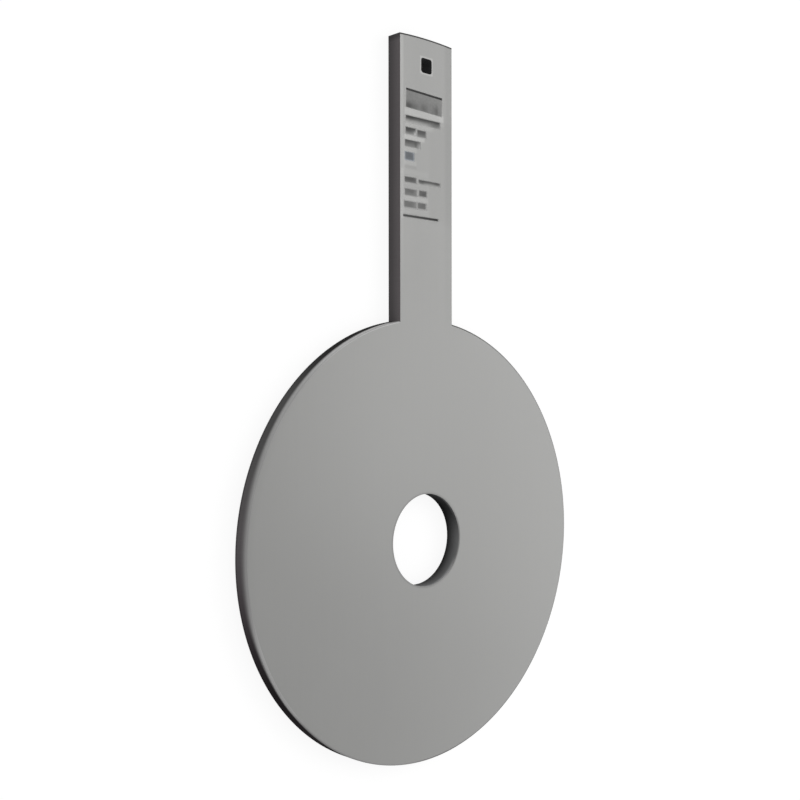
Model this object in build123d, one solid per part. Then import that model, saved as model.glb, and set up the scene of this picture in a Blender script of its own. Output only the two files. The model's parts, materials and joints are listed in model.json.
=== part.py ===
"""Orifice plate with a paddle handle, cut as one flat piece from stainless steel plate.

The disc is clamped between the raised faces of two pipe flanges and meters the flow through its
sharp-edged bore. The handle stands out past the flanges. It carries the marking and a hanging hole.

The plate lies on its back face. The origin is the centre of the bore in that face, +Z runs along
the bore towards the marked front face, and +Y runs towards the end of the handle.
"""

import os
from math import sqrt

from build123d import *

# Disc, in millimetres. It is as wide as the raised faces of the flanges that clamp it.
disc_diameter = 157.2
plate_thickness = 6.0
front_rim_radius = 0.6
back_rim_radius = 0.3

# Metering bore, straight through the plate, with both of its edges left sharp.
bore_diameter = 33.0

# Handle. Its length counts from the disc's edge to the middle of its end, which is cut to an arc
# round the bore's axis, and its root reaches into the disc.
handle_width = 26.0
handle_length = 100.0
handle_root_depth = 4.0
handle_edge_break = 0.1

# Hanging hole, square with rounded corners, on the handle's centre line.
hole_width = 5.3
hole_corner_radius = 1.0
hole_to_handle_end = 9.7

disc_radius = disc_diameter / 2
bore_radius = bore_diameter / 2
handle_end_y = disc_radius + handle_length


def disc_section():
    """Half section of the disc, from the bore's wall out to the rim with its two rounded edges."""
    low_corner = (Align.MIN, Align.MIN)
    web = Rectangle(disc_radius - bore_radius, plate_thickness, align=low_corner)
    section = Plane.XZ * Pos(bore_radius, 0) * web

    front_corner = section.vertices().group_by(Axis.X)[-1].sort_by(Axis.Z)[-1]
    section = fillet(front_corner, front_rim_radius)
    back_corner = section.vertices().group_by(Axis.Z)[0].sort_by(Axis.X)[-1]
    return fillet(back_corner, back_rim_radius)


def make_disc():
    """The metering disc, turned about the bore's axis."""
    return revolve(disc_section(), Axis.Z, 360)


def make_handle():
    """The flat handle, from its root inside the disc to its slightly curved end."""
    root_y = sqrt(disc_radius**2 - (handle_width / 2) ** 2) - handle_root_depth
    length = handle_end_y - root_y
    strip = Pos(0, root_y + length / 2) * Rectangle(handle_width, length)
    handle = extrude(strip & Circle(handle_end_y), plate_thickness)

    corner_edges = handle.edges().filter_by(Axis.Z)
    return chamfer(handle.edges() - corner_edges, handle_edge_break)


def make_hanging_hole():
    """The prism that cuts the hanging hole through the handle."""
    outline = RectangleRounded(hole_width, hole_width, hole_corner_radius)
    return Pos(0, handle_end_y - hole_to_handle_end) * extrude(outline, plate_thickness)


def make_plate():
    """The whole plate as one solid."""
    return make_disc() + make_handle() - make_hanging_hole()


os.makedirs("parts", exist_ok=True)
export_step(make_plate(), "parts/orifice_plate.step")
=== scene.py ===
"""An orifice plate lying on a pale studio floor, seen from above its left side.

The plate is one flat piece of stainless steel: a disc with a sharp-edged metering bore, and a long
handle with a hanging hole and a marking that is cut into it as plain bars. Everything is in metres,
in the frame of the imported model: the origin is the centre of the bore in the back face, +Z runs
along the bore to the marked front face, and +Y runs to the end of the handle.
"""

import json
import logging
import math
from dataclasses import dataclass, field
from enum import Enum
from typing import Any, Sequence, Union

import bmesh
import bpy
import numpy as np
from mathutils import Matrix, Vector
from mathutils.geometry import delaunay_2d_cdt

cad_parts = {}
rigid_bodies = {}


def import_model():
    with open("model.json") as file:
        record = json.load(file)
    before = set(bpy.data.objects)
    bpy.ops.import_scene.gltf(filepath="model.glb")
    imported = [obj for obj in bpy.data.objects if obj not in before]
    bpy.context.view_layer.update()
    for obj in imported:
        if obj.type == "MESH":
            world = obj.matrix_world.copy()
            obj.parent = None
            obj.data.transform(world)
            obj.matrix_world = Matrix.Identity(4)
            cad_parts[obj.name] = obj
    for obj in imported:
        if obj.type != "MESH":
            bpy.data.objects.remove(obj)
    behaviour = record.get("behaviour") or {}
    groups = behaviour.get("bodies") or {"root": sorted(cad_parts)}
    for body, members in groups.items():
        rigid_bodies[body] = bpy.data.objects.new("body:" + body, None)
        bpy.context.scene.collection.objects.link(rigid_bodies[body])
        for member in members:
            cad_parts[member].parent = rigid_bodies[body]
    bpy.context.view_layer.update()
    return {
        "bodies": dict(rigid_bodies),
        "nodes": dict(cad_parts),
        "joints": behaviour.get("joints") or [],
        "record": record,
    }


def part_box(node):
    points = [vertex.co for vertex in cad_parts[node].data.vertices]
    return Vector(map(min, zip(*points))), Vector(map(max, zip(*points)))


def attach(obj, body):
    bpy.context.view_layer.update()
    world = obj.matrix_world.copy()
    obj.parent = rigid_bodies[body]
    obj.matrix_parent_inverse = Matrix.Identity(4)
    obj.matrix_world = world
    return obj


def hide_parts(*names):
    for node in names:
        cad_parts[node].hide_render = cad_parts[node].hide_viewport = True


log = logging.getLogger("orifice_plate")

MM = 0.001
PLATE_NODE = "orifice_plate"
TONE = "tone"  # the attribute that holds the tone of the marking's fills
SHARP_TURN = math.radians(28)  # an edge that turns by more than this stays sharp

Colour = tuple[float, float, float]
Point = tuple[float, float, float]
CUT_STREAKS: Point = (0.45, 0.45, 14)  # a cut edge's streaks along X, Y and Z, in millimetres


def display_grey(level: float) -> float:
    """The linear light from 0 to 1 of a grey from 0 to 255, by the standard screen curve."""
    share = level / 255
    return share / 12.92 if share <= 0.04045 else ((share + 0.055) / 1.055) ** 2.4


def smooth(share: np.ndarray) -> np.ndarray:
    """Eases shares from 0 to 1: three times the square, less twice the cube."""
    return share * share * (3 - 2 * share)


def at_height(flat: np.ndarray, height: float) -> np.ndarray:
    """Gives rows of X and Y that Z."""
    return np.column_stack([flat, np.full(len(flat), height)])


def add_object(name: str, data: bpy.types.ID) -> bpy.types.Object:
    """Adds an object to the scene.

    Args:
        name: Its name.
        data: What it holds: a mesh, a lamp or a camera.

    Returns:
        The object, which stands at the origin.
    """
    made = bpy.data.objects.new(name, data)
    bpy.context.scene.collection.objects.link(made)
    return made


class Value:
    """A number that varies over a surface. Arithmetic on it adds Math nodes to its graph."""

    def __init__(self, graph: "Graph", socket: bpy.types.NodeSocket) -> None:
        """Wraps an output socket of a node in the graph."""
        self.graph = graph
        self.socket = socket

    def __add__(self, other: "Number") -> "Value":
        """The sum of both."""
        return self.graph.maths("ADD", self, other)

    def __radd__(self, other: "Number") -> "Value":
        """The sum of both."""
        return self.graph.maths("ADD", other, self)

    def __sub__(self, other: "Number") -> "Value":
        """This less the other."""
        return self.graph.maths("SUBTRACT", self, other)

    def __rsub__(self, other: "Number") -> "Value":
        """The other less this."""
        return self.graph.maths("SUBTRACT", other, self)

    def __mul__(self, other: "Number") -> "Value":
        """The product of both."""
        return self.graph.maths("MULTIPLY", self, other)

    def __rmul__(self, other: "Number") -> "Value":
        """The product of both."""
        return self.graph.maths("MULTIPLY", other, self)

    def __truediv__(self, other: "Number") -> "Value":
        """This divided by the other."""
        return self.graph.maths("DIVIDE", self, other)

    def __abs__(self) -> "Value":
        """This without its sign."""
        return self.graph.maths("ABSOLUTE", self)

    def root(self) -> "Value":
        """The square root of this."""
        return self.graph.maths("SQRT", self)

    def ramp(self, start: float, end: float) -> "Value":
        """Rises smoothly from 0 to 1 along this value, and is level outside.

        Args:
            start: The value at which it is 0.
            end: The value at which it is 1.

        Returns:
            The ramp's value.
        """
        inputs = {"Value": self, "From Min": start, "From Max": end}
        made = self.graph.node("ShaderNodeMapRange", {"interpolation_type": "SMOOTHSTEP"}, inputs)
        return Value(self.graph, made.outputs[0])


Number = Union[Value, float, int]


class Graph:
    """The nodes of one material or world, added in the order in which they are called for."""

    def __init__(self, tree: bpy.types.NodeTree) -> None:
        """Starts from an empty tree."""
        self.tree = tree
        tree.nodes.clear()

    def node(self, kind: str, settings: dict[str, Any], inputs: dict[Any, Any]) -> bpy.types.Node:
        """Adds one node.

        Args:
            kind: The node's type.
            settings: Its own properties, which are set first.
            inputs: What goes into its sockets, by name or index: a Value, a socket or a constant.

        Returns:
            The new node.
        """
        made = self.tree.nodes.new(kind)
        for name, setting in settings.items():
            setattr(made, name, setting)
        for name, content in inputs.items():
            source = content.socket if isinstance(content, Value) else content
            if isinstance(source, bpy.types.NodeSocket):
                self.tree.links.new(source, made.inputs[name])
            else:
                made.inputs[name].default_value = source
        return made

    def maths(self, operation: str, *terms: Number) -> Value:
        """Adds a Math node with that operation on its terms."""
        made = self.node("ShaderNodeMath", {"operation": operation}, dict(enumerate(terms)))
        return Value(self, made.outputs[0])

    def place(self) -> tuple[Value, Value, Value]:
        """The surface point's X, Y and Z in the object's own coordinates, in metres."""
        split = self.node("ShaderNodeSeparateXYZ", {}, {"Vector": self.coordinates()})
        return tuple(Value(self, split.outputs[axis]) for axis in "XYZ")

    def coordinates(self) -> bpy.types.NodeSocket:
        """The surface point in the object's own coordinates."""
        return self.node("ShaderNodeTexCoord", {}, {}).outputs["Object"]

    def noise(self, sizes_mm: Point, detail: float = 2.0) -> Value:
        """A soft random pattern from 0 to 1.

        Args:
            sizes_mm: How long its features are along X, Y and Z, in millimetres.
            detail: How many finer layers are added to it.

        Returns:
            The pattern's value.
        """
        scale = tuple(1 / (size * MM) for size in sizes_mm)
        inputs = {"Vector": self.coordinates(), "Scale": scale}
        spread = self.node("ShaderNodeMapping", {"vector_type": "POINT"}, inputs)
        inputs = {"Vector": spread.outputs[0], "Scale": 1.0, "Detail": detail, "Roughness": 0.55}
        made = self.node("ShaderNodeTexNoise", {"noise_dimensions": "3D"}, inputs)
        return Value(self, made.outputs["Fac"])

    def tinted(self, colour: Colour, strength: Number) -> bpy.types.NodeSocket:
        """The colour, made lighter or darker by a value.

        Args:
            colour: The colour.
            strength: What it is multiplied by.

        Returns:
            The socket of the new colour.
        """
        settings = {"operation": "SCALE"}
        inputs = {0: colour, "Scale": strength}
        return self.node("ShaderNodeVectorMath", settings, inputs).outputs[0]

    def mixed(
        self, share: Number, first: bpy.types.NodeSocket, second: bpy.types.NodeSocket
    ) -> bpy.types.NodeSocket:
        """Mixes two colours.

        Args:
            share: How much of the second colour there is.
            first: The colour at a share of 0.
            second: The colour at a share of 1.

        Returns:
            The socket of the mixed colour.
        """
        made = self.node("ShaderNodeMix", {"data_type": "RGBA"}, {"Factor": share})
        shades = [socket for socket in made.inputs if socket.type == "RGBA"]
        for shade, colour in zip(shades, (first, second)):
            self.tree.links.new(colour, shade)
        return next(socket for socket in made.outputs if socket.type == "RGBA")

    def bump(self, height: Number, depth: float, strength: float) -> bpy.types.NodeSocket:
        """A normal that follows a height from 0 to 1, which is that deep in metres."""
        inputs = {"Height": height, "Distance": depth, "Strength": strength}
        return self.node("ShaderNodeBump", {}, inputs).outputs["Normal"]

    def surface(self, **inputs: Any) -> None:
        """Ends a material with a Principled shader.

        Args:
            inputs: What goes into its sockets, by name, with underscores in place of spaces.
        """
        named = {name.replace("_", " "): content for name, content in inputs.items()}
        shader = self.node("ShaderNodeBsdfPrincipled", {}, named)
        self.node("ShaderNodeOutputMaterial", {}, {"Surface": shader.outputs[0]})


def new_material(name: str) -> tuple[bpy.types.Material, Graph]:
    """Makes an empty material.

    Args:
        name: Its name.

    Returns:
        The material, and the graph to add its nodes to.
    """
    material = bpy.data.materials.new(name)
    material.use_nodes = True
    return material, Graph(material.node_tree)


@dataclass(frozen=True)
class Rectangle:
    """A rectangle on the front face, in millimetres from the bore's centre.

    Attributes:
        left: X of its left side.
        right: X of its right side.
        top: Y of its upper side.
        bottom: Y of its lower side.
        turn_deg: How far it is turned about its top left corner, counterclockwise.
    """

    left: float
    right: float
    top: float
    bottom: float
    turn_deg: float = 0.0

    def points(self, u: np.ndarray, v: np.ndarray, margin: float = 0.0) -> np.ndarray:
        """Places points that run over the rectangle.

        A point is the top left corner, plus the share u of the width along the turned X axis, less
        the share 1 - v of the height along the turned Y axis.

        Args:
            u: Shares of the width, from 0 on the left to 1 on the right.
            v: Shares of the height, from 0 at the bottom to 1 at the top.
            margin: How far inside its sides the points stay, in millimetres.

        Returns:
            X and Y in metres, in a last axis of two.
        """
        across = margin + u * (self.right - self.left - 2 * margin)
        down = margin + (1 - v) * (self.top - self.bottom - 2 * margin)
        turn = math.radians(self.turn_deg)
        x = self.left + across * math.cos(turn) + down * math.sin(turn)
        y = self.top + across * math.sin(turn) - down * math.cos(turn)
        return np.stack([x, y], axis=-1) * MM

    def size(self) -> tuple[float, float]:
        """Its width and height in millimetres."""
        return self.right - self.left, self.top - self.bottom

    def corners(self) -> np.ndarray:
        """Its four corners in metres, counterclockwise from the lower left."""
        return self.points(np.array([0.0, 1.0, 1.0, 0.0]), np.array([0.0, 0.0, 1.0, 1.0]))


class Finish(Enum):
    """What each stretch of the plate's surface is finished like. The value is its material slot."""

    GROUND_FACE = 0
    CUT_EDGE = 1
    PAINTED_SHADING_RIM = 2
    BORED_WALL = 3
    ENGRAVING_AND_HOLE_SHADE = 4


@dataclass(frozen=True)
class Zone:
    """A zone of the front face that is brighter or darker than the steel round it.

    Attributes:
        area: Where it is.
        gain: How much brighter it is, as a share.
        soft: Width of its soft border, in millimetres.
    """

    area: Rectangle
    gain: float
    soft: float = 0.7

    def factor(self, x: Value, y: Value) -> Value:
        """Its factor on the steel's tone: 1 outside it, and 1 plus the gain inside.

        Args:
            x: X of the point.
            y: Y of the point.

        Returns:
            The factor, which goes smoothly from one to the other over the soft border.
        """
        area, reach = self.area, self.soft / 2 * MM
        half_x, half_y = (side / 2 * MM for side in area.size())
        beside = abs(x - (area.left + area.right) / 2 * MM).ramp(half_x + reach, half_x - reach)
        above = abs(y - (area.top + area.bottom) / 2 * MM).ramp(half_y + reach, half_y - reach)
        return 1 + self.gain * (beside * above)


@dataclass(frozen=True)
class GroundSteel:
    """The flat faces: dull steel, fine grinding lines along the handle, uneven round the marking.

    The disc's tone drifts a little by painted light and shade. The handle has painted shade over
    its face and along its right side, a painted highlight along its left side, and a brighter ring
    round the hanging hole. Painted shade lays a dark line along its end and round the bore's edge.

    Attributes:
        colour: The metal's own colour.
        roughness: How dull it is.
        metallic: How far it reflects as bare metal.
        marking_ground: The brighter and darker zones round the marking.
        end_line: Width of the line of painted shade along the handle's end, in metres.
        bore_line: Width of the line of painted shade round the bore, in metres.
        hole_ring: Width of the brighter ring round the hanging hole, in metres.
    """

    colour: Colour = (0.259, 0.259, 0.2535)
    roughness: float = 0.4
    metallic: float = 0.6
    marking_ground: tuple[Zone, ...] = (
        Zone(Rectangle(-10.9, 8.6, 152.5, 150.1), 0.26),
        Zone(Rectangle(6.4, 8.8, 152.0, 148.4), 0.07),
        Zone(Rectangle(-12.8, -10.9, 131.0, 113.5), 0.09),
        Zone(Rectangle(-11.6, -10.5, 143.0, 131.0), 0.09),
        Zone(Rectangle(-10.9, 3.4, 147.8, 145.9), 0.14, 1.4),
        Zone(Rectangle(-10.9, -1.0, 143.1, 141.4), 0.29, 1.0),
        Zone(Rectangle(-10.9, -4.9, 138.9, 137.1), 0.12),
        Zone(Rectangle(-10.9, -5.0, 134.2, 132.4), 0.1),
        Zone(Rectangle(-10.9, -5.0, 132.5, 131.3), -0.09),
        Zone(Rectangle(-12.6, 1.0, 130.9, 129.1), 0.05, 1.2),
        Zone(Rectangle(-10.9, 0.8, 121.7, 120.0), 0.15),
        Zone(Rectangle(-11.0, 1.0, 117.2, 115.6), 0.05),
        # painted shade: the handle's right half beside the marking is a little darker
        Zone(Rectangle(1.6, 14.0, 150.0, 113.0), -0.04, 2.4),
    )
    end_line: float = 0.7 * MM
    bore_line: float = 1.0 * MM
    hole_ring: float = 0.5 * MM

    def material(self, sizes: "PlateSizes") -> bpy.types.Material:
        """Makes the material.

        Args:
            sizes: The plate's sizes.

        Returns:
            The material.
        """
        made, graph = new_material("ground_steel_face")
        x, y, z = graph.place()
        grain = graph.noise((0.25, 9, 1), detail=3)
        streaks = graph.noise((1.1, 60, 5))
        clouds = graph.noise((34, 26, 30))
        shade = 0.955 + 0.03 * grain + 0.02 * streaks + 0.04 * clouds
        marked = math.prod(zone.factor(x, y) for zone in self.marking_ground)
        on_front = z.ramp(0.4 * sizes.thickness, 0.6 * sizes.thickness)
        shade = shade * (1 + (marked - 1) * on_front)
        # painted light and shade on the handle, and painted shade along its end and round the bore
        shade = shade * self._handle_painted_shading(x, y, sizes) * self._painted_edge_shade(x, y, sizes)
        # painted light and shade over the disc
        shade = shade * self._painted_disc_shading(x, y)
        graph.surface(
            Base_Color=graph.tinted(self.colour, shade),
            Metallic=self.metallic,
            Roughness=self.roughness - 0.05 + 0.06 * grain + 0.04 * clouds,
            Normal=graph.bump(grain, depth=0.01 * MM, strength=0.25),
        )
        return made

    def _handle_painted_shading(self, x: Value, y: Value, sizes: "PlateSizes") -> Value:
        """The handle's painted highlight and shade, and the brighter border of the hanging hole.

        Args:
            x: X of the point.
            y: Y of the point.
            sizes: The plate's sizes.

        Returns:
            The factor on the steel's tone.
        """
        half = sizes.handle_width / 2
        # painted highlight: the handle's left side is lighter, more so towards its end
        rising = 0.06 * y.ramp(85 * MM, 115 * MM) + 0.13 * y.ramp(110 * MM, sizes.handle_end)
        left = rising * x.ramp(2.2 * MM - half, 1.0 * MM - half)
        # painted shade: the handle's right side is darker
        fading = 0.03 * y.ramp(70 * MM, 84 * MM) + 0.06 * y.ramp(95 * MM, 130 * MM)
        right = fading * x.ramp(half - 4.6 * MM, half - 2.4 * MM)
        # painted shade: the handle's face is a little darker
        painted_darker = 0.035 * y.ramp(70 * MM, 105 * MM) * x.ramp(2 * MM - half, 9 * MM - half)
        # a brighter ring round the hanging hole
        reach = (sizes.hole_width / 2 + self.hole_ring) / MM
        centre = sizes.hole_centre / MM
        brighter_ring = Zone(Rectangle(-reach, reach, centre + reach, centre - reach), 0.3, 0.5)
        return (1 + left - right - painted_darker) * brighter_ring.factor(x, y)

    def _painted_edge_shade(self, x: Value, y: Value, sizes: "PlateSizes") -> Value:
        """The painted shade along the handle's end and round the bore, darkest on the bore's right.

        Args:
            x: X of the point.
            y: Y of the point.
            sizes: The plate's sizes.

        Returns:
            The factor on the steel's tone.
        """
        radius = (x * x + y * y).root()
        # painted shade: a dark line along the handle's end
        end = radius.ramp(sizes.handle_end - self.end_line, sizes.handle_end - 0.6 * self.end_line)
        # painted shade: a dark ring round the bore's edge, darkest on its right
        bore = radius.ramp(sizes.bore_radius + self.bore_line, sizes.bore_radius + 0.1 * MM)
        darker = 0.2 + 0.45 * (0.98 * x - 0.2 * y).ramp(11 * MM, sizes.bore_radius)
        return (1 - 0.94 * end) * (1 - darker * bore)

    @staticmethod
    def _painted_disc_shading(x: Value, y: Value) -> Value:
        """The disc's painted light and shade: by quarters, lighter at the upper left but for the
        rim.

        Args:
            x: X of the point.
            y: Y of the point.

        Returns:
            The factor on the steel's tone.
        """
        # painted light round the upper left, painted shade by quarters and on the rim there
        across = x + 30 * MM
        along = y - 40 * MM
        lighter = 0.07 * (across * across + along * along).root().ramp(65 * MM, 0)
        rim = (x * x + y * y).root().ramp(74.5 * MM, 78.2 * MM)
        upper_left = x.ramp(-55 * MM, -72 * MM) * y.ramp(-25 * MM, 10 * MM)
        return 0.993 + lighter - 1.8 * x * y - 0.04 * rim * upper_left


@dataclass(frozen=True)
class CutEdge:
    """The handle's edge: dark as cut, streaked, painted light at the front, darker towards its end.
    """

    colour: Colour = (0.132, 0.1195, 0.1235)
    roughness: float = 0.62
    metallic: float = 0.15

    def material(self, sizes: "PlateSizes") -> bpy.types.Material:
        """Makes the material.

        Args:
            sizes: The plate's sizes.

        Returns:
            The material.
        """
        made, graph = new_material("cut_steel_edge")
        _, y, z = graph.place()
        streaks = graph.noise(CUT_STREAKS, detail=3)
        patches = graph.noise((18, 18, 9))
        # painted light: the edge is lighter towards the front face
        front = z.ramp(0.0, sizes.thickness)
        darker_near_end = y.ramp(sizes.handle_end - 3.2 * MM, sizes.handle_end - 1.2 * MM)
        # painted shade: the last of the edge at the handle's end is darkened, like the face's end
        # line
        scale = y.ramp(sizes.handle_end - 0.9 * MM, sizes.handle_end - 0.6 * MM)
        shade = (0.5 + 0.7 * front) * (0.82 + 0.24 * streaks + 0.12 * patches)
        shade = shade * (1 - 0.6 * darker_near_end) * (1 - 0.7 * scale)
        graph.surface(
            Base_Color=graph.tinted(self.colour, shade),
            Metallic=self.metallic,
            Roughness=self.roughness - 0.06 + 0.12 * streaks,
            Normal=graph.bump(streaks, depth=0.03 * MM, strength=0.35),
            Specular_IOR_Level=0.4,
        )
        return made


@dataclass(frozen=True)
class PaintedShadingRim:
    """The disc's rim: dark as it was cut, with a painted highlight on the left by the front face.

    The border between both is soft at the disc's middle, and sharper near the handle and at the far
    end, where painted shade makes the cut part darkest.

    Attributes:
        painted_highlight: Colour of the front part, which carries the painted highlight.
        cut: Colour of the part behind it, beside the handle.
        warmer_cut: Colour of that part at the far end, a little warmer.
        roughness: How dull both are.
        highlight_metal: How far the part with the painted highlight reflects as bare metal.
        cut_metal: How far the cut part does where it is lightest.
        border: How far the border between them lies above the back face, in metres.
    """

    painted_highlight: Colour = (0.271, 0.270, 0.268)
    cut: Colour = (0.111, 0.11, 0.1095)
    warmer_cut: Colour = (0.121, 0.101, 0.111)
    roughness: float = 0.45
    highlight_metal: float = 0.6
    cut_metal: float = 0.37
    border: float = 4.5 * MM

    def material(self) -> bpy.types.Material:
        """Makes the material.

        Returns:
            The material.
        """
        made, graph = new_material("ground_rim")
        x, y, z = graph.place()
        streaks = graph.noise(CUT_STREAKS, detail=3)
        # the painted light and shade are strongest on the disc's left side
        left = x.ramp(10 * MM, -15 * MM)
        painted_highlight = self._painted_highlight_share(y, z)
        cut_shade = self._painted_cut_shade(y, z, left)
        # painted highlight on the rim's front part
        bright = graph.tinted(self.painted_highlight, self._painted_highlight_tone(y, z, left) * (0.96 + 0.08 * streaks))
        # painted shade on the cut part behind it
        dark_tone = cut_shade * (0.88 + 0.24 * streaks)
        beside_handle = graph.tinted(self.cut, dark_tone)
        far_end = graph.tinted(self.warmer_cut, dark_tone)
        dark = graph.mixed(y.ramp(50 * MM, -45 * MM), beside_handle, far_end)
        graph.surface(
            Base_Color=graph.mixed(painted_highlight, dark, bright),
            Metallic=self.highlight_metal * painted_highlight + self.cut_metal * cut_shade * (1 - painted_highlight),
            Roughness=self.roughness - 0.05 + 0.1 * streaks,
            Normal=graph.bump(streaks, depth=0.02 * MM, strength=0.25),
            Specular_IOR_Level=0.0,
        )
        return made

    def _painted_highlight_share(self, y: Value, z: Value) -> Value:
        """Tells the rim's two parts apart.

        Args:
            y: Y of the point.
            z: Z of the point.

        Returns:
            0 on the cut part and 1 on the part with the painted highlight.
        """
        width = 4.2 * MM - 2.4 * MM * abs(y).ramp(10 * MM, 45 * MM)
        upper = 0.4 * MM * y.ramp(5 * MM, 45 * MM)
        lower = 0.4 * MM * y.ramp(-20 * MM, -45 * MM) + 0.65 * MM * y.ramp(-45 * MM, -57 * MM)
        return ((z - self.border + upper - lower) / width + 0.5).ramp(0, 1)

    @staticmethod
    def _painted_highlight_tone(y: Value, z: Value, left: Value) -> Value:
        """How bright the painted highlight is: brightest on the left, beside the handle.

        Args:
            y: Y of the point.
            z: Z of the point.
            left: 1 on the disc's left side and 0 on its right.

        Returns:
            The factor on its colour.
        """
        # painted light and shade, changing round the rim and through its thickness
        upper = 0.45 * y.ramp(5 * MM, 50 * MM) + 0.6 * y.ramp(50 * MM, 70 * MM)
        lower = 0.5 * y.ramp(-8 * MM, -42 * MM)
        middle = 0.22 * z.ramp(3.8 * MM, 5.2 * MM) * abs(y + 5 * MM).ramp(38 * MM, 20 * MM)
        # painted shade over the front rounding
        rounding = (0.13 + 0.15 * y.ramp(35 * MM, 65 * MM)) * z.ramp(5.6 * MM, 5.95 * MM)
        return (0.5 + left * (0.5 + upper + lower)) * (1 + left * middle) * (1 - rounding)

    @staticmethod
    def _painted_cut_shade(y: Value, z: Value, left: Value) -> Value:
        """The cut part's painted shade: darkest on the left, beside the handle and at the far end.

        Args:
            y: Y of the point.
            z: Z of the point.
            left: 1 on the disc's left side and 0 on its right.

        Returns:
            The factor on its colour.
        """
        upper = 0.2 * y.ramp(20 * MM, 45 * MM) + 0.68 * y.ramp(48 * MM, 70 * MM)
        lower = 0.95 * y.ramp(12 * MM, -48 * MM)
        # painted shade: darker towards the back face
        back = 0.35 * z.ramp(1.4 * MM, 0.3 * MM)
        return (1.12 - (upper + lower) * left) * (1 - back)


@dataclass(frozen=True)
class BoredWall:
    """The bore's wall: finely ringed.

    Painted shade darkens it towards the back and over its upper half, and a painted highlight
    brightens it beside the front edge.
    """

    colour: Colour = (0.213, 0.214, 0.216)
    roughness: float = 0.45
    metallic: float = 0.35

    def material(self, sizes: "PlateSizes") -> bpy.types.Material:
        """Makes the material.

        Args:
            sizes: The plate's sizes.

        Returns:
            The material.
        """
        made, graph = new_material("turned_bore_wall")
        _, y, z = graph.place()
        rings = graph.noise((30, 30, 0.12))
        # painted shade over the bore's upper half
        painted_upper_shade = y.ramp(-2 * MM, 12 * MM)
        # painted shade towards the back face
        deep = (0.05 + 0.95 * z / sizes.thickness) * (1 - 0.76 * painted_upper_shade)
        # painted highlight beside the front edge, above and below the bore's middle
        front = 0.7 * z.ramp(4.5 * MM, 5.7 * MM) * abs(y).ramp(6 * MM, 12 * MM)
        graph.surface(
            Base_Color=graph.tinted(self.colour, (deep + front) * (0.9 + 0.2 * rings)),
            Metallic=self.metallic * (1 - 0.7 * painted_upper_shade),
            Roughness=self.roughness - 0.05 + 0.1 * rings,
            Normal=graph.bump(rings, depth=0.012 * MM, strength=0.3),
            Specular_IOR_Level=0.0,
        )
        return made


@dataclass(frozen=True)
class EngravingAndHoleShade:
    """Walls and floors of what is cut into the plate: darkened steel with a fine tool grain.

    On the hanging hole's wall the dark colour is painted shade.
    """

    colour: Colour = (0.035, 0.035, 0.037)
    roughness: float = 0.7

    def material(self) -> bpy.types.Material:
        """Makes the material.

        Returns:
            The material.
        """
        made, graph = new_material("darkened_engraving")
        grain = graph.noise((0.3, 0.3, 0.3))
        graph.surface(
            Base_Color=graph.tinted(self.colour, 0.8 + 0.4 * grain),
            Metallic=0.0,
            Roughness=self.roughness,
            Specular_IOR_Level=0.25,
        )
        return made


@dataclass(frozen=True)
class MarkingFill:
    """The dark fill of the marking, worn unevenly. Its tone comes from the fill's own attribute."""

    name: str
    tint: Colour
    roughness: float = 0.65

    def material(self) -> bpy.types.Material:
        """Makes the material.

        Returns:
            The material.
        """
        made, graph = new_material(self.name)
        tone = graph.node("ShaderNodeAttribute", {"attribute_name": TONE}, {}).outputs["Fac"]
        wear = graph.noise((0.9, 0.9, 0.9), detail=3)
        graph.surface(
            Base_Color=graph.tinted(self.tint, Value(graph, tone) * (0.78 + 0.44 * wear)),
            Metallic=0.0,
            Roughness=self.roughness - 0.05 + 0.1 * wear,
            Specular_IOR_Level=0.25,
        )
        return made


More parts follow.
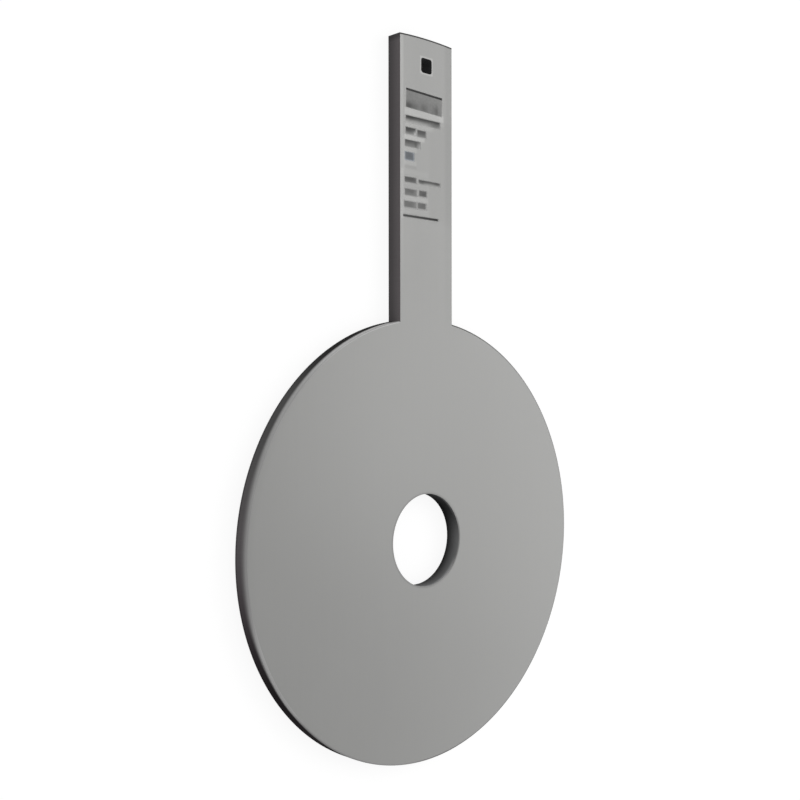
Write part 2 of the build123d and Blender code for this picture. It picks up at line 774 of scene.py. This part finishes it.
@dataclass
class Surface:
    """Patches of one mesh, collected before it is made.

    Attributes:
        points: The points of each patch, in metres.
        faces: The faces of each patch, counted in its own points.
        finishes: The material slot of each patch.
    """

    points: list[np.ndarray] = field(default_factory=list)
    faces: list[np.ndarray] = field(default_factory=list)
    finishes: list[int] = field(default_factory=list)

    def add(self, points: np.ndarray, faces: np.ndarray, slot: int = 0) -> None:
        """Adds a patch.

        Args:
            points: Its points, in metres.
            faces: Its faces, counted in those points.
            slot: Its material slot.
        """
        self.points.append(points)
        self.faces.append(faces)
        self.finishes.append(slot)

    def add_band(self, loops: np.ndarray, slot: int = 0, closed: bool = True) -> None:
        """Adds a profile carried along a path.

        Point (k, i) is step k of the profile at point i of the path. Its quad runs on to step k + 1
        and to point i + 1, and on a closed path the last point joins the first. Counterclockwise
        loops that rise face outwards, and ones that go down face inwards.

        Args:
            loops: The points, with the profile's steps first, the path's points next, X, Y, Z last.
            slot: The material slot.
            closed: True if the path goes once round.
        """
        steps, count = loops.shape[:2]
        here = np.arange(steps * count).reshape(steps, count)
        ahead = np.roll(here, -1, axis=1)
        quads = np.stack([here[:-1], ahead[:-1], ahead[1:], here[1:]], axis=-1)
        if not closed:
            quads = quads[:, :-1]
        self.add(loops.reshape(-1, 3), quads.reshape(-1, 4), slot)

    def add_flat(
        self, loops: Sequence[np.ndarray], height: float, faces_up: bool, slot: int
    ) -> None:
        """Adds the flat face between an outer loop and the convex loops that are cut out of it.

        The loops are filled with triangles. One that has all its corners on the same inner loop
        lies in that cut, and is left out.

        Args:
            loops: The closed loops of X and Y in metres, the outer one first.
            height: Z of the face.
            faces_up: True if it faces +Z, False if it faces -Z.
            slot: The material slot.
        """
        flat = np.concatenate(loops)
        counts = [len(loop) for loop in loops]
        loop_of = np.repeat(np.arange(len(loops)), counts)
        rounds = np.split(np.arange(len(flat)), np.cumsum(counts)[:-1])
        edges = np.concatenate([np.stack([here, np.roll(here, -1)], axis=-1) for here in rounds])
        corners = [Vector(point) for point in flat / MM]
        inside_only, least_gap = 1, 1e-6
        filled = delaunay_2d_cdt(corners, edges.tolist(), [], inside_only, least_gap)
        faces = np.array(filled[2])
        owners = loop_of[faces]
        in_a_cut = (owners == owners[:, :1]).all(axis=1) & (owners[:, 0] > 0)
        faces = faces[~in_a_cut]
        self.add(at_height(flat, height), faces if faces_up else faces[:, ::-1], slot)

    def add_slab(self, top: np.ndarray, floor: float) -> None:
        """Adds a closed slab between a grid of points and a flat floor under it.

        Args:
            top: The upper points, with rows from low to high Y first, columns next, X, Y, Z last.
            floor: Z of its flat underside.
        """
        rows, columns = top.shape[:2]
        below = top.copy()
        below[..., 2] = floor
        here = np.arange(rows * columns).reshape(rows, columns)
        cells = [here[:-1, :-1], here[:-1, 1:], here[1:, 1:], here[1:, :-1]]
        upper = np.stack(cells, axis=-1).reshape(-1, 4)
        lower = upper[:, ::-1] + rows * columns
        border = np.concatenate([here[0, :-1], here[:-1, -1], here[-1, :0:-1], here[:0:-1, 0]])
        ahead = np.roll(border, -1)
        sides = np.stack([border + rows * columns, ahead + rows * columns, ahead, border], axis=-1)
        self.add(np.concatenate([top, below]).reshape(-1, 3), np.concatenate([upper, lower, sides]))

    def to_object(self, name: str, materials: Sequence[bpy.types.Material]) -> bpy.types.Object:
        """Makes the patches one mesh, each patch with points of its own.

        Args:
            name: The piece's name.
            materials: What its material slots hold.

        Returns:
            The new object, which stands at the origin.
        """
        starts = np.cumsum([0] + [len(points) for points in self.points])
        faces, slots = [], []
        for patch, start, slot in zip(self.faces, starts, self.finishes):
            faces.extend((patch + start).tolist())
            slots.extend([slot] * len(patch))
        mesh = bpy.data.meshes.new(name)
        mesh.from_pydata(np.concatenate(self.points).tolist(), [], faces)
        mesh.polygons.foreach_set("material_index", slots)
        for material in materials:
            mesh.materials.append(material)
        return add_object(name, mesh)


def weld(mesh: bpy.types.Mesh, reach: float = 1e-7) -> None:
    """Merges the points that patches share.

    Args:
        mesh: The mesh that is changed.
        reach: How close two points are to be one, in metres.
    """
    shape = bmesh.new()
    shape.from_mesh(mesh)
    bmesh.ops.remove_doubles(shape, verts=shape.verts, dist=reach)
    shape.to_mesh(mesh)
    shape.free()


def set_shading(mesh: bpy.types.Mesh) -> None:
    """Shades a mesh's curves smooth and keeps its real edges sharp."""
    mesh.shade_smooth()
    mesh.set_sharp_from_angle(angle=SHARP_TURN)


@dataclass(frozen=True)
class PlateSizes:
    """The plate's sizes in metres. Those without a value here are read from the frame."""

    disc_radius: float
    handle_end: float
    thickness: float
    bore_radius: float
    hole_centre: float
    handle_width: float = 26 * MM
    handle_edge_break: float = 0.1 * MM
    front_rim_radius: float = 0.6 * MM
    back_rim_radius: float = 0.3 * MM
    hole_width: float = 5.3 * MM
    hole_corner_radius: float = 1.0 * MM

    @classmethod
    def from_frame(cls, frame: dict[str, Any]) -> "PlateSizes":
        """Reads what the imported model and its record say.


        Returns:
            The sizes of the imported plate.
        """
        low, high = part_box(PLATE_NODE)
        mounts = {mount["name"]: mount for mount in frame["record"]["mounts"]}
        return cls(
            disc_radius=-low.y,
            handle_end=high.y,
            thickness=high.z,
            bore_radius=mounts["bore"]["dims"]["r_mm"] * MM,
            hole_centre=mounts["hanging_hole"]["pos_m"][1],
        )


@dataclass(frozen=True)
class Pocket:
    """A flat-floored pocket in the front face."""

    area: Rectangle
    depth: float


@dataclass
class Plate:
    """The plate itself: disc, bore, handle, hanging hole and the pockets of the marking.

    Attributes:
        sizes: Its sizes.
        arc_steps: Points round the disc's rim.
        side_steps: Points along each side of the handle.
        end_steps: Points across the handle's end.
        bore_steps: Points round the bore.
        corner_steps: Steps round each corner of the hanging hole.
        rim_steps: Steps round each edge of the disc's rim.
        face_ring: Width of the flat ring of faces that borders each flat face.
    """

    sizes: PlateSizes
    arc_steps: int = 720
    side_steps: int = 40
    end_steps: int = 12
    bore_steps: int = 240
    corner_steps: int = 8
    rim_steps: int = 8
    face_ring: float = 0.15 * MM

    def build(self, pockets: Sequence[Pocket]) -> bpy.types.Object:
        """Builds and dresses the plate.

        Args:
            pockets: What is cut into its front face.

        Returns:
            The plate, riding on the root body in place of the CAD node.
        """
        surface = Surface()
        rings = self._edge_rings()
        neck = 2 * self.side_steps + self.end_steps
        surface.add_band(rings[:, : neck + 1], Finish.CUT_EDGE.value, closed=False)
        rim = np.concatenate([rings[:, neck:], rings[:, :1]], axis=1)
        surface.add_band(rim, Finish.PAINTED_SHADING_RIM.value, closed=False)
        back = self._inner_outline(self.sizes.back_rim_radius)
        front = self._inner_outline(self.sizes.front_rim_radius)
        face = Finish.GROUND_FACE.value
        surface.add_band(np.stack([at_height(back, 0.0), rings[0]]), face)
        surface.add_band(np.stack([rings[-1], at_height(front, self.sizes.thickness)]), face)
        bore, hole = self._bore_loop(), self._hole_loop()
        surface.add_band(self._carried(bore), Finish.BORED_WALL.value)
        # painted shade: the hanging hole's wall takes the dark engraving colour
        surface.add_band(self._carried(hole), Finish.ENGRAVING_AND_HOLE_SHADE.value)
        cuts = [pocket.area.corners() for pocket in pockets]
        for cut, pocket in zip(cuts, pockets):
            self._add_pocket(surface, cut, pocket.depth)
        surface.add_flat([front, bore, hole, *cuts], self.sizes.thickness, True, face)
        surface.add_flat([back, bore, hole], 0.0, False, face)
        materials = [
            GroundSteel().material(self.sizes),
            CutEdge().material(self.sizes),
            PaintedShadingRim().material(),
            BoredWall().material(self.sizes),
            EngravingAndHoleShade().material(),
        ]
        piece = surface.to_object("orifice_plate_steel", materials)
        weld(piece.data)
        set_shading(piece.data)
        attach(piece, "root")
        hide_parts(PLATE_NODE)
        return piece

    def _edge_rings(self) -> np.ndarray:
        """The outer edge, as the outline at each height from the back face to the front face.

        At height z the disc's rim stands back by r - sqrt(r^2 - (r - d)^2), where d is the distance
        from z to the nearer face and r that edge's radius, as far as d is below r. The handle's
        edge stands back by its break less d, as far as d is below the break.

        Returns:
            The rings, with heights first, points next and X, Y, Z last.
        """
        size = self.sizes
        turns = np.linspace(0, np.pi / 2, self.rim_steps + 1)
        back = size.back_rim_radius * (1 - np.cos(turns))
        front = size.thickness - size.front_rim_radius * (1 - np.cos(turns))
        breaks = [size.handle_edge_break, size.thickness - size.handle_edge_break]
        heights = np.unique(np.concatenate([back, front, breaks]))
        to_back, to_front = heights, size.thickness - heights
        rim = self._rounded(to_back, size.back_rim_radius)
        rim += self._rounded(to_front, size.front_rim_radius)
        handle = np.maximum(size.handle_edge_break - np.minimum(to_back, to_front), 0)
        rings = zip(self._outline(rim, handle), heights)
        return np.stack([at_height(ring, height) for ring, height in rings])

    @staticmethod
    def _rounded(distance: np.ndarray, radius: float) -> np.ndarray:
        """How far a rounded edge stands back, that distance below the face it runs into."""
        left = np.maximum(radius - distance, 0)
        return radius - np.sqrt(radius**2 - left**2)

    def _outline(self, rim_inset: np.ndarray, handle_inset: np.ndarray) -> np.ndarray:
        """The plate's closed outline, counterclockwise from the right-hand neck corner.

        It runs up the handle's right side, across its end, down its left side and round the disc.
        The end is an arc round the bore's axis: at x its y is sqrt(E^2 - x^2), where E is the
        distance to the end less the inset. A point on the disc is R (cos a, sin a), where the angle
        a runs from the left-hand neck corner, past the far side, to the right-hand one, and R is
        the radius less the inset.

        Args:
            rim_inset: How far the disc's rim stands back, one value for each outline.
            handle_inset: How far the handle's sides and end stand back, likewise.

        Returns:
            The outlines, with one row for each inset, points next and X, Y last.
        """
        radius = (self.sizes.disc_radius - rim_inset)[:, None]
        half = (self.sizes.handle_width / 2 - handle_inset)[:, None]
        end = (self.sizes.handle_end - handle_inset)[:, None]
        neck = np.sqrt(radius**2 - half**2)
        corner = np.sqrt(end**2 - half**2)
        along = np.linspace(0, 1, self.side_steps, endpoint=False)[None]
        across = half * np.linspace(1, -1, self.end_steps, endpoint=False)[None]
        around = np.linspace(0, 1, self.arc_steps, endpoint=False)[None]
        lean = np.arcsin(half / radius)
        angle = np.pi / 2 + lean + 2 * (np.pi - lean) * around
        rise = neck + (corner - neck) * along
        x = [half + 0 * along, across, -half + 0 * along, radius * np.cos(angle)]
        y = [rise, np.sqrt(end**2 - across**2), neck + corner - rise, radius * np.sin(angle)]
        return np.stack([np.concatenate(x, axis=1), np.concatenate(y, axis=1)], axis=-1)

    def _inner_outline(self, rim_radius: float) -> np.ndarray:
        """The outline of a flat face less its bordering ring, beside a rim of that edge radius."""
        insets = np.array([[rim_radius], [self.sizes.handle_edge_break]]) + self.face_ring
        return self._outline(*insets)[0]

    def _bore_loop(self) -> np.ndarray:
        """The bore's edge: radius times (cos a, sin a), with a running once round."""
        angle = np.linspace(0, 2 * np.pi, self.bore_steps, endpoint=False)
        return self.sizes.bore_radius * np.stack([np.cos(angle), np.sin(angle)], axis=-1)

    def _hole_loop(self) -> np.ndarray:
        """The hanging hole's edge: a square whose corners are quarter circles.

        A point is the centre of its corner's circle, which lies on the square's diagonal, plus the
        corner radius times (cos a, sin a), where a runs through that corner's quarter.

        Returns:
            The loop's X and Y, counterclockwise.
        """
        size = self.sizes
        quarter = np.arange(4)[:, None] * np.pi / 2
        angle = quarter + np.linspace(0, np.pi / 2, self.corner_steps + 1)[None]
        middle = quarter + np.pi / 4
        reach = (size.hole_width / 2 - size.hole_corner_radius) * math.sqrt(2)
        x = reach * np.cos(middle) + size.hole_corner_radius * np.cos(angle)
        y = reach * np.sin(middle) + size.hole_corner_radius * np.sin(angle)
        return np.stack([x.ravel(), y.ravel() + size.hole_centre], axis=-1)

    def _carried(self, loop: np.ndarray, floor: float = 0.0) -> np.ndarray:
        """A loop of X and Y carried straight down from the front face to the floor's height."""
        return np.stack([at_height(loop, height) for height in (self.sizes.thickness, floor)])

    def _add_pocket(self, surface: Surface, corners: np.ndarray, depth: float) -> None:
        """Adds a pocket's walls and its flat floor.

        Args:
            surface: Where they are added.
            corners: X and Y of its corners.
            depth: How deep it is.
        """
        walls = self._carried(corners, self.sizes.thickness - depth)
        surface.add_band(walls, Finish.ENGRAVING_AND_HOLE_SHADE.value)
        surface.add(walls[1], np.array([[0, 1, 2, 3]]), Finish.ENGRAVING_AND_HOLE_SHADE.value)


@dataclass(frozen=True)
class Smudge:
    """A soft spot in a fill, where it is darker or lighter.

    Attributes:
        x: X of its middle, in millimetres.
        y: Y of its middle.
        across: How far it reaches along X.
        down: How far it reaches along Y.
        change: How much lighter its middle is, as a share.
    """

    x: float
    y: float
    across: float
    down: float
    change: float

    def gain(self, points: np.ndarray) -> np.ndarray:
        """Its factor on the tone at some points.

        Args:
            points: Their X and Y, in metres.

        Returns:
            1 + change exp(-(dx / across)^2 - (dy / down)^2) at each.
        """
        aside = (points[..., 0] / MM - self.x) / self.across
        above = (points[..., 1] / MM - self.y) / self.down
        return 1 + self.change * np.exp(-(aside**2) - above**2)


@dataclass(frozen=True)
class Bar:
    """One plain bar of the marking.

    Attributes:
        area: Where it is.
        upper: Its grey along the upper edge, as a screen shows it.
        lower: Its grey along the lower edge.
        right_gain: How much lighter it is at its right end than at its left, as a share.
        soft: How far it fades into the steel's grey at its sides, in millimetres, or 0.
        smudges: Its darker and lighter spots.
        raised: How far its face stands above that of a bar with its own pocket, in metres.
        cool: True if its fill is a little blue.
    """

    area: Rectangle
    upper: float
    lower: float
    right_gain: float = 0.0
    soft: float = 0.4
    smudges: tuple[Smudge, ...] = ()
    raised: float = 0.0
    cool: bool = False

    def tone(self, u: np.ndarray, v: np.ndarray, points: np.ndarray, steel: float) -> np.ndarray:
        """Its tone over u across and v up.

        It goes smoothly from the lower grey to the upper one as v goes from 0 to 1, times 1 plus
        the gain times u, times each smudge's factor. At its sides it fades into the steel's tone,
        over a shorter way at the upper side than at the others.

        Args:
            u: Shares of its width, from 0 to 1.
            v: Shares of its height, likewise.
            points: X and Y there, in metres.
            steel: The tone of the steel round it.

        Returns:
            The tones, as linear values.
        """
        low, high = display_grey(self.lower), display_grey(self.upper)
        # a darker upper grey is painted shadow under the pocket's upper edge
        tone = (low + (high - low) * smooth(v)) * (1 + self.right_gain * u)
        for smudge in self.smudges:
            tone = tone * smudge.gain(points)
        if not self.soft:
            return tone
        width, height = self.area.size()
        # the painted shadow keeps the upper side crisper
        top_steepness = 2.5
        inward = [u * width, (1 - u) * width, v * height, (1 - v) * height * top_steepness]
        share = np.prod([np.clip(distance / self.soft, 0, 1) for distance in inward], axis=0)
        return steel + (tone - steel) * smooth(share)


@dataclass
class Marking:
    """The handle's marking: a header panel with a line of painted shadow along its top, and rows of
    plain bars.

    Attributes:
        header: The panel, which has a pocket of its own.
        shadow_line: The line of painted shadow under the panel's upper edge, which lies on its
            fill.
        rows: Bars from the top row down, each with a pocket of its own.
        depth: Depth of each pocket.
        sunk: How far the fill's face lies under the front face.
        dish: How much deeper the middle of a fill is than its sides.
        clearance: Gap between a fill and its pocket's wall, in millimetres.
        cell: How far apart the points of a fill are at most, in millimetres.
        steel_grey: The steel's grey round the bars, as a screen shows it.
    """

    header: Bar
    shadow_line: Bar
    rows: tuple[Bar, ...]
    depth: float = 0.2 * MM
    sunk: float = 0.04 * MM
    dish: float = 0.02 * MM
    clearance: float = 0.02
    cell: float = 0.22
    steel_grey: float = 172

    def pockets(self) -> list[Pocket]:
        """What the marking cuts into the front face."""
        return [Pocket(bar.area, self.depth) for bar in (self.header, *self.rows)]

    def build(self, thickness: float) -> list[bpy.types.Object]:
        """Builds and dresses the fills.

        Args:
            thickness: The plate's thickness.

        Returns:
            The header's fill, its painted shadow line, the neutral bars and the bluish bar.
        """
        neutral = MarkingFill("marking_fill_neutral", (1.17, 1.17, 1.15)).material()
        cool = MarkingFill("marking_fill_cool", (1.09, 1.17, 1.26)).material()
        fills = (
            ("marking_header_panel", [self.header], neutral),
            ("marking_header_rule", [self.shadow_line], neutral),
            ("marking_bars", [bar for bar in self.rows if not bar.cool], neutral),
            ("marking_bar_cool", [bar for bar in self.rows if bar.cool], cool),
        )
        return [self._fill(name, bars, material, thickness) for name, bars, material in fills]

    def _fill(
        self, name: str, bars: Sequence[Bar], material: bpy.types.Material, thickness: float
    ) -> bpy.types.Object:
        """Builds some bars as one piece of separate slabs.

        The top of a slab over u across and v up is a shallow dish: its height is that of its sides,
        less the dish times 4 u (1 - u) times 4 v (1 - v).

        Args:
            name: The piece's name.
            bars: The bars.
            material: What they are filled with.
            thickness: The plate's thickness.

        Returns:
            The piece, riding on the root body.
        """
        surface, tones = Surface(), []
        steel = display_grey(self.steel_grey)
        for bar in bars:
            columns, rows = (math.ceil(side / self.cell) + 1 for side in bar.area.size())
            u, v = np.meshgrid(np.linspace(0, 1, columns), np.linspace(0, 1, rows))
            flat = bar.area.points(u, v, self.clearance)
            bowl = self.dish * 4 * u * (1 - u) * 4 * v * (1 - v)
            height = thickness - self.sunk + bar.raised - bowl
            surface.add_slab(np.dstack([flat, height]), thickness - self.depth)
            tones += [bar.tone(u, v, flat, steel).ravel()] * 2
        piece = surface.to_object(name, [material])
        attribute = piece.data.attributes.new(TONE, "FLOAT", "POINT")
        attribute.data.foreach_set("value", np.concatenate(tones).astype(np.float32))
        set_shading(piece.data)
        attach(piece, "root")
        return piece


def plain_marking() -> Marking:
    """Lays out the marking: a plain panel with a painted shadow line, and rows of plain bars.

    Returns:
        The marking, in its place on the handle.
    """
    turn = -1.9
    header = Bar(
        Rectangle(-10.0, 7.97, 159.45, 152.58, turn), 130, 126, 0.14, 0.12,
        (Smudge(-8.6, 153.4, 2.7, 1.4, -0.62), Smudge(-5.2, 153.2, 1.2, 1.4, -0.2),
         Smudge(-1.2, 153.4, 2.1, 1.9, -0.38), Smudge(4.2, 153.5, 1.8, 1.9, -0.28),
         Smudge(5.2, 153.7, 0.7, 1.9, -0.35)),
    )
    shadow_line = Bar(
        Rectangle(-9.97, 7.94, 159.43, 158.68, turn), 47, 52, -0.45, soft=0.0, raised=0.02 * MM
    )
    rows = (
        Bar(Rectangle(-10.4, 7.0, 149.95, 147.3), 50, 172, smudges=(
            Smudge(-8.0, 149.2, 3.0, 0.7, -0.5), Smudge(-1.5, 149.0, 3.0, 0.6, -0.25),
            Smudge(4.4, 148.1, 3.0, 1.0, -0.5), Smudge(5.2, 149.3, 1.2, 0.6, -0.25))),
        Bar(Rectangle(-10.5, -5.2, 145.8, 143.1), 62, 142, smudges=(
            Smudge(-8.8, 144.6, 2.2, 0.8, -0.45), Smudge(-5.4, 143.9, 0.8, 1.0, 1.5))),
        Bar(Rectangle(-4.8, -0.1, 145.6, 142.95), 84, 130, smudges=(
            Smudge(-2.4, 144.4, 1.9, 0.8, -0.3),)),
        Bar(Rectangle(-10.8, -3.0, 141.4, 138.75), 84, 128, smudges=(
            Smudge(-9.0, 140.9, 1.6, 0.6, -0.2), Smudge(-5.3, 139.9, 0.5, 1.2, -0.35),
            Smudge(-3.5, 140.2, 1.0, 1.6, 0.9))),
        Bar(Rectangle(-10.8, -6.0, 137.1, 134.0), 108, 116, soft=0.6, cool=True, smudges=(
            Smudge(-8.5, 135.6, 1.2, 0.9, -0.14), Smudge(-6.5, 136.8, 0.9, 0.7, 0.3))),
        Bar(Rectangle(-10.95, -4.95, 128.4, 126.2), 88, 112, smudges=(
            Smudge(-8.0, 127.4, 2.4, 0.6, -0.3), Smudge(-5.6, 128.0, 0.9, 0.8, 0.2))),
        Bar(Rectangle(-4.1, 6.95, 128.05, 126.35), 88, 160, soft=0.3, smudges=(
            Smudge(1.4, 127.5, 6.0, 0.4, -0.3), Smudge(-2.3, 127.1, 1.8, 0.7, -0.5),
            Smudge(5.2, 127.3, 1.5, 0.45, -0.4))),
        Bar(Rectangle(-10.95, -4.7, 124.2, 121.6), 110, 122, soft=0.5, smudges=(
            Smudge(-7.8, 123.2, 1.6, 0.6, -0.22), Smudge(-5.4, 123.4, 0.9, 1.2, 0.2))),
        Bar(Rectangle(-3.95, 0.25, 124.3, 121.9), 100, 100, soft=0.5, smudges=(
            Smudge(-1.5, 123.0, 1.3, 0.8, -0.25),)),
        Bar(Rectangle(-11.3, -4.7, 119.9, 117.3), 114, 116, soft=0.6, smudges=(
            Smudge(-7.6, 118.6, 2.0, 0.6, -0.1), Smudge(-5.3, 118.8, 1.1, 1.4, 0.4))),
        Bar(Rectangle(-4.6, -0.05, 119.9, 117.4), 110, 110, soft=0.6, smudges=(
            Smudge(-1.9, 118.7, 1.3, 0.8, -0.1),)),
        Bar(Rectangle(-11.65, 6.0, 115.12, 114.02), 72, 72, right_gain=-0.8, soft=0.3),
    )
    return Marking(header, shadow_line, rows)


@dataclass(frozen=True)
class AreaLamp:
    """A square soft lamp.

    Attributes:
        name: Its name.
        place: Where its middle is.
        power: Its power in watts.
        size: Length of its side, in metres.
        aim: The point that it faces.
    """

    name: str
    place: Point
    power: float
    size: float = 0.5
    aim: Point = (0.0, 0.05, 0.0)

    def build(self) -> bpy.types.Object:
        """Adds the lamp to the scene.

        Returns:
            The lamp.
        """
        data = bpy.data.lights.new(self.name, "AREA")
        data.shape = "SQUARE"
        data.size = self.size
        data.energy = self.power
        made = add_object(self.name, data)
        made.location = self.place
        made.rotation_mode = "QUATERNION"
        made.rotation_quaternion = (Vector(self.aim) - Vector(self.place)).to_track_quat("-Z", "Y")
        return made


@dataclass(frozen=True)
class PhotoCamera:
    """The camera at the photograph's viewing angle, which looks down on the plate from its left.

    Attributes:
        eye: Where it stands, in metres.
        aim: The point on the front face that it looks at.
        roll_deg: How far its top leans to its right.
        lens_mm: Its focal length on a sensor 36 mm wide.
    """

    eye: Point = (-0.28229, 0.05060, 0.28996)
    aim: Point = (-0.01313, 0.04997, 0.00600)
    roll_deg: float = 0.0525
    lens_mm: float = 50.526

    def build(self) -> bpy.types.Object:
        """Adds the camera and makes it the scene's own.

        Returns:
            The camera.
        """
        forward = (Vector(self.aim) - Vector(self.eye)).normalized()
        right = forward.cross(Vector((0, 1, 0))).normalized()
        up = right.cross(forward)
        roll = math.radians(self.roll_deg)
        up = up * math.cos(roll) + right * math.sin(roll)
        right = forward.cross(up)
        data = bpy.data.cameras.new("photo_camera")
        data.lens = self.lens_mm
        data.sensor_width = 36
        data.clip_start = 0.01
        data.clip_end = 100
        made = add_object("photo_camera", data)
        turned = Matrix((right, up, -forward)).transposed().to_4x4()
        made.matrix_world = Matrix.Translation(self.eye) @ turned
        bpy.context.scene.camera = made
        return made


@dataclass
class Studio:
    """A plain white floor that keeps a faint shadow, plain soft light and a white surround.

    Attributes:
        floor_reach: How far the floor goes from the plate, in metres.
        floor_gap: How far it lies under the plate's back face.
        floor_glow: What the floor adds for the camera and for reflections, where 1 is white.
        floor_colour: What it sends back of the light that falls on it, which the shadow takes away.
        surround_light: Light from all around.
        lamps: The soft lamps.
    """

    floor_reach: float = 30.0
    floor_gap: float = 0.05 * MM
    floor_glow: float = 0.87
    floor_colour: float = 0.2
    surround_light: float = 0.6
    lamps: tuple[AreaLamp, ...] = (
        AreaLamp("right_lamp", (0.82, 0.05, 0.57), 1.05),
        AreaLamp("upper_right_lamp", (0.71, 0.46, 0.57), 1.2),
        AreaLamp("lower_right_lamp", (0.81, -0.42, 0.34), 0.97),
    )

    def build(self) -> bpy.types.Object:
        """Builds the surround, the lamps and the floor.

        Returns:
            The floor.
        """
        self._surround()
        for lamp in self.lamps:
            lamp.build()
        return self._floor()

    def _floor(self) -> bpy.types.Object:
        """Builds a flat square under the plate.

        Returns:
            The floor.
        """
        reach = self.floor_reach
        corners = np.array([[-reach, -reach], [reach, -reach], [reach, reach], [-reach, reach]])
        surface = Surface()
        surface.add(at_height(corners, -self.floor_gap), np.array([[0, 1, 2, 3]]))
        material, graph = new_material("pale_floor")
        strength = self._seen(graph) * self.floor_glow
        glow = graph.node("ShaderNodeEmission", {}, {"Strength": strength})
        matt = graph.node("ShaderNodeBsdfDiffuse", {}, {"Color": (*[self.floor_colour] * 3, 1)})
        both = graph.node("ShaderNodeAddShader", {}, {0: glow.outputs[0], 1: matt.outputs[0]})
        graph.node("ShaderNodeOutputMaterial", {}, {"Surface": both.outputs[0]})
        floor = surface.to_object("studio_floor", [material])
        return floor

    def _surround(self) -> None:
        """Makes the world white to the eye and in reflections, and a soft light otherwise."""
        world = bpy.data.worlds.new("studio_surround")
        world.use_nodes = True
        graph = Graph(world.node_tree)
        strength = self.surround_light + (1 - self.surround_light) * self._seen(graph)
        inputs = {"Color": (1, 1, 1, 1), "Strength": strength}
        light = graph.node("ShaderNodeBackground", {}, inputs)
        graph.node("ShaderNodeOutputWorld", {}, {"Surface": light.outputs[0]})
        bpy.context.scene.world = world

    @staticmethod
    def _seen(graph: Graph) -> Value:
        """Tells what is seen from what only gives light.

        Args:
            graph: The nodes to add to.

        Returns:
            1 for a ray from the camera, straight, reflected or through glass, and otherwise 0.
        """
        path = graph.node("ShaderNodeLightPath", {}, {})
        kinds = ("Is Camera Ray", "Is Glossy Ray", "Is Transmission Ray")
        camera, glossy, through = (Value(graph, path.outputs[kind]) for kind in kinds)
        return graph.maths("MAXIMUM", graph.maths("MAXIMUM", camera, glossy), through)


def main() -> None:
    """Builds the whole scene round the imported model."""
    logging.basicConfig(level=logging.INFO, format="%(name)s: %(message)s")
    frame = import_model()
    sizes = PlateSizes.from_frame(frame)

    marking = plain_marking()
    pieces = [Plate(sizes).build(marking.pockets()), *marking.build(sizes.thickness)]
    for piece in pieces:
        log.info("%s has %d faces", piece.name, len(piece.data.polygons))

    Studio().build()
    PhotoCamera().build()
    bpy.context.scene.view_settings.view_transform = "Standard"


if __name__ == "__main__":
    main()
